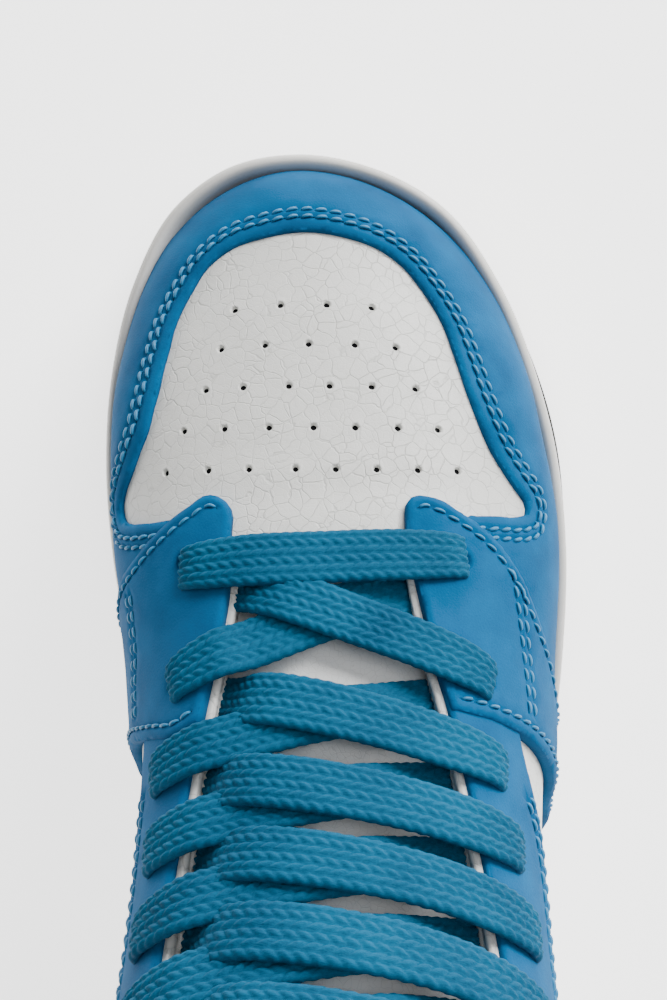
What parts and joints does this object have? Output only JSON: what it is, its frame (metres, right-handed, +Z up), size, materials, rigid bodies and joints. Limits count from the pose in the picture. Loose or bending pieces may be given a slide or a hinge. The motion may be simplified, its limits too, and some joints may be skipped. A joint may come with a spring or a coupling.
{
  "type": "basketball high top",
  "caption": "Right basketball high top with perforated toe box, nubuck overlays, flat over-lacing, padded collar and tongue, and a stitched cupsole.",
  "frame": {"origin": "on the ground under the middle of the outsole's length and width", "axes": "+Y towards the toe, +X towards the lateral (outer) side, +Z up from the ground"},
  "size_m": [0.1073, 0.295, 0.1771],
  "materials": {
    "tread_rubber": "matt moulded tread",
    "cup_rubber": "satin off-white cupsole with stitched sidewall",
    "eva_foam": "closed-cell foam",
    "board": "fibre insole board",
    "sockliner_cloth": "short-nap cloth over foam",
    "white_leather": "smooth grained leather with fine creases",
    "blue_nubuck": "matt nubuck with a fine nap",
    "stiffener": "thermoplastic sheet",
    "lining_cloth": "knitted lining",
    "pad_foam": "open-cell foam",
    "tongue_leather": "soft grained leather",
    "label_cloth": "plain woven tab",
    "lace_cloth": "flat braided polyester",
    "aglet_plastic": "clear film tip"
  },
  "bodies": {
    "shoe": {"outsole": "tread_rubber", "cupsole": "cup_rubber", "midsole_wedge": "eva_foam", "heel_cushion": "eva_foam", "strobel_board": "board", "sockliner_front": "sockliner_cloth", "vamp": "white_leather", "quarter_lateral": "white_leather", "quarter_medial": "white_leather", "toe_cap_overlay": "blue_nubuck", "forefoot_overlay_lateral": "blue_nubuck", "forefoot_overlay_medial": "blue_nubuck", "eyestay_lateral": "blue_nubuck", "eyestay_medial": "blue_nubuck", "ankle_panel_lateral": "blue_nubuck", "ankle_panel_medial": "blue_nubuck", "heel_tab": "blue_nubuck", "heel_overlay": "blue_nubuck", "toe_puff": "stiffener", "heel_counter": "stiffener", "vamp_lining": "lining_cloth", "quarter_lining_lateral": "lining_cloth", "quarter_lining_medial": "lining_cloth", "collar_foam": "pad_foam", "collar_lining": "lining_cloth", "tongue_lower": "tongue_leather", "lace_bar": "lace_cloth", "lace_crossings_over": "lace_cloth", "lace_crossings_under": "lace_cloth", "lace_tail_lateral": "lace_cloth", "lace_tail_medial": "lace_cloth", "aglet_lateral": "aglet_plastic", "aglet_medial": "aglet_plastic"},
    "tongue_top": {"tongue_upper": "tongue_leather", "tongue_foam": "pad_foam", "tongue_label": "label_cloth"},
    "sockliner_flap": {"sockliner_heel": "sockliner_cloth"}
  },
  "joints": [
    {"name": "tongue_fold", "type": "hinge", "parent": "shoe", "child": "tongue_top", "pos_m": [0, -0.02981, 0.15215], "axis": [-1, 0, 0], "range_deg": [-5, 32]},
    {"name": "sockliner_lift", "type": "hinge", "parent": "shoe", "child": "sockliner_flap", "pos_m": [0, 0.012, 0.0204], "axis": [-1, 0, 0], "range_deg": [0, 18]}
  ]
}
